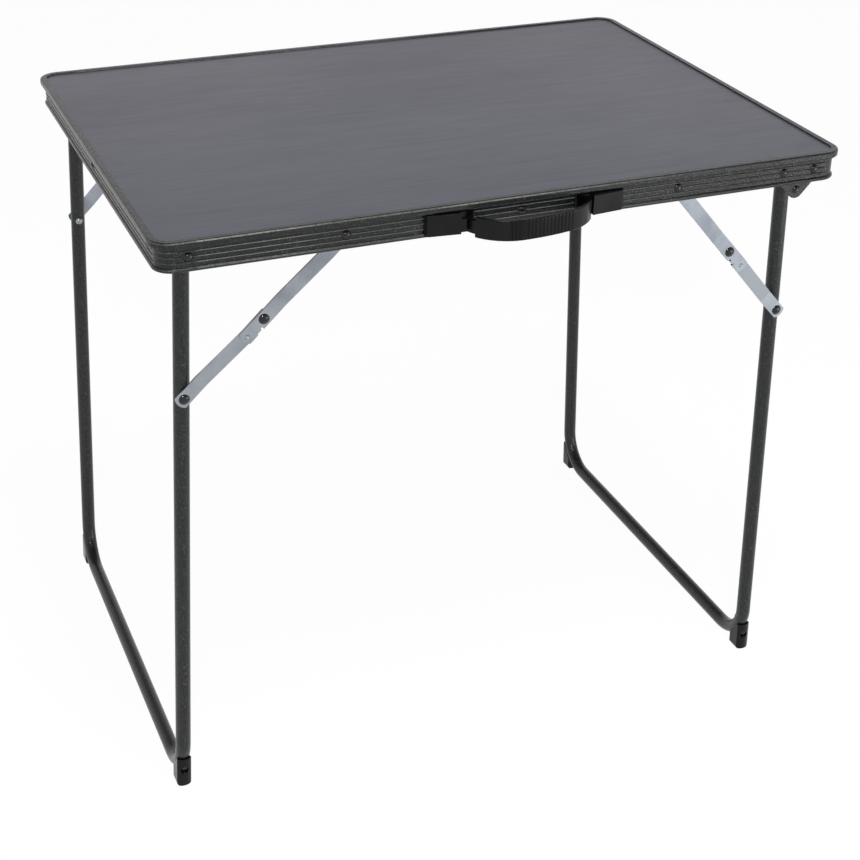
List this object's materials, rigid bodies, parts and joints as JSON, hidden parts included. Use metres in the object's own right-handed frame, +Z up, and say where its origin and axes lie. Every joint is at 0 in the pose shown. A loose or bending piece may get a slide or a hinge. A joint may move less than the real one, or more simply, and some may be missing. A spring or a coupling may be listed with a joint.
{
  "type": "folding camping table",
  "caption": "Folding camping table with a grey wood-grain top in a ribbed metal rim, fold-up tube legs, hinged stays and a carry handle.",
  "frame": {"origin": "on the floor under the centre of the table's bounding box, handle included", "axes": "+X along the long side to the right, +Y from front (handle side) to back, +Z up"},
  "size_m": [0.8074, 0.6252, 0.7],
  "materials": {
    "panel_board": "satin grey wood-grain laminate",
    "rim_coat": "dark grey-green hammered coat",
    "tube_coat": "dark grey speckled powder coat",
    "stay_zinc": "bright zinc plate",
    "frame_zinc": "dull zinc plate",
    "rivet_black": "glossy black",
    "black_plastic": "fine satin grain"
  },
  "bodies": {
    "top": {"panel": "panel_board", "rim": "rim_coat", "long_rail": "frame_zinc", "cross_rail": "frame_zinc", "rail_rivets": "rivet_black", "ear_bracket_front": "tube_coat", "ear_bracket_back": "tube_coat", "ear_rivets": "rivet_black", "left_pivot_rivets": "rivet_black", "right_pivot_rivets": "rivet_black", "left_bushes": "frame_zinc", "right_bushes": "frame_zinc", "stay_top_rivets": "rivet_black", "handle_bracket_left": "black_plastic", "handle_bracket_right": "black_plastic", "handle_rivets": "frame_zinc"},
    "left_leg": {"left_leg_frame": "tube_coat", "foot_left_front": "black_plastic", "foot_left_back": "black_plastic", "left_foot_screws": "rivet_black", "left_stay_pins": "frame_zinc", "left_washers": "frame_zinc"},
    "right_leg": {"right_leg_frame": "tube_coat", "foot_right_front": "black_plastic", "foot_right_back": "black_plastic", "right_foot_screws": "rivet_black", "right_stay_pins": "frame_zinc", "right_washers": "frame_zinc"},
    "upper_stay_left_front": {"stay_upper_left_front": "stay_zinc", "knee_rivet_left_front": "rivet_black"},
    "lower_stay_left_front": {"stay_lower_left_front": "stay_zinc", "end_rivet_left_front": "rivet_black"},
    "upper_stay_left_back": {"stay_upper_left_back": "stay_zinc", "knee_rivet_left_back": "rivet_black"},
    "lower_stay_left_back": {"stay_lower_left_back": "stay_zinc", "end_rivet_left_back": "rivet_black"},
    "upper_stay_right_front": {"stay_upper_right_front": "stay_zinc", "knee_rivet_right_front": "rivet_black"},
    "lower_stay_right_front": {"stay_lower_right_front": "stay_zinc", "end_rivet_right_front": "rivet_black"},
    "upper_stay_right_back": {"stay_upper_right_back": "stay_zinc", "knee_rivet_right_back": "rivet_black"},
    "lower_stay_right_back": {"stay_lower_right_back": "stay_zinc", "end_rivet_right_back": "rivet_black"},
    "handle": {"handle_strap": "black_plastic"}
  },
  "joints": [
    {"name": "left_leg_fold", "type": "hinge", "parent": "top", "child": "left_leg", "pos_m": [-0.35907, 0.0176, 0.6815], "axis": [0, -1, 0], "range_deg": [0, 93.06]},
    {"name": "left_front_stay_swing", "type": "hinge", "parent": "top", "child": "upper_stay_left_front", "pos_m": [-0.19378, -0.2704, 0.6815], "axis": [0, -1, 0], "range_deg": [0, 136.3]},
    {"name": "left_front_knee_fold", "type": "hinge", "parent": "upper_stay_left_front", "child": "lower_stay_left_front", "pos_m": [-0.28141, -0.2619, 0.59773], "axis": [0, 1, 0], "range_deg": [0, 180.01]},
    {"name": "left_back_stay_swing", "type": "hinge", "parent": "top", "child": "upper_stay_left_back", "pos_m": [-0.19378, 0.3056, 0.6815], "axis": [0, -1, 0], "range_deg": [0, 136.3]},
    {"name": "left_back_knee_fold", "type": "hinge", "parent": "upper_stay_left_back", "child": "lower_stay_left_back", "pos_m": [-0.28141, 0.2971, 0.59773], "axis": [0, 1, 0], "range_deg": [0, 180.01]},
    {"name": "right_leg_fold", "type": "hinge", "parent": "top", "child": "right_leg", "pos_m": [0.34573, 0.0176, 0.6584], "axis": [0, 1, 0], "range_deg": [0, 91.77]},
    {"name": "right_front_stay_swing", "type": "hinge", "parent": "top", "child": "upper_stay_right_front", "pos_m": [0.19103, -0.2704, 0.6815], "axis": [0, 1, 0], "range_deg": [0, 129.44]},
    {"name": "right_front_knee_fold", "type": "hinge", "parent": "upper_stay_right_front", "child": "lower_stay_right_front", "pos_m": [0.2713, -0.2619, 0.59065], "axis": [0, -1, 0], "range_deg": [0, 168.95]},
    {"name": "right_back_stay_swing", "type": "hinge", "parent": "top", "child": "upper_stay_right_back", "pos_m": [0.19103, 0.3056, 0.6815], "axis": [0, 1, 0], "range_deg": [0, 129.44]},
    {"name": "right_back_knee_fold", "type": "hinge", "parent": "upper_stay_right_back", "child": "lower_stay_right_back", "pos_m": [0.2713, 0.2971, 0.59065], "axis": [0, -1, 0], "range_deg": [0, 168.95]},
    {"name": "handle_slide", "type": "slide", "parent": "top", "child": "handle", "axis": [-1, 0, 0], "range_m": [0, 0.0075]}
  ],
  "couplings": [
    {"joint": "left_front_stay_swing", "follows": "left_leg_fold", "ratio": 1.4645},
    {"joint": "left_front_knee_fold", "follows": "left_leg_fold", "ratio": 1.9342},
    {"joint": "left_back_stay_swing", "follows": "left_leg_fold", "ratio": 1.4645},
    {"joint": "left_back_knee_fold", "follows": "left_leg_fold", "ratio": 1.9342},
    {"joint": "right_front_stay_swing", "follows": "right_leg_fold", "ratio": 1.4103},
    {"joint": "right_front_knee_fold", "follows": "right_leg_fold", "ratio": 1.8408},
    {"joint": "right_back_stay_swing", "follows": "right_leg_fold", "ratio": 1.4103},
    {"joint": "right_back_knee_fold", "follows": "right_leg_fold", "ratio": 1.8408}
  ]
}
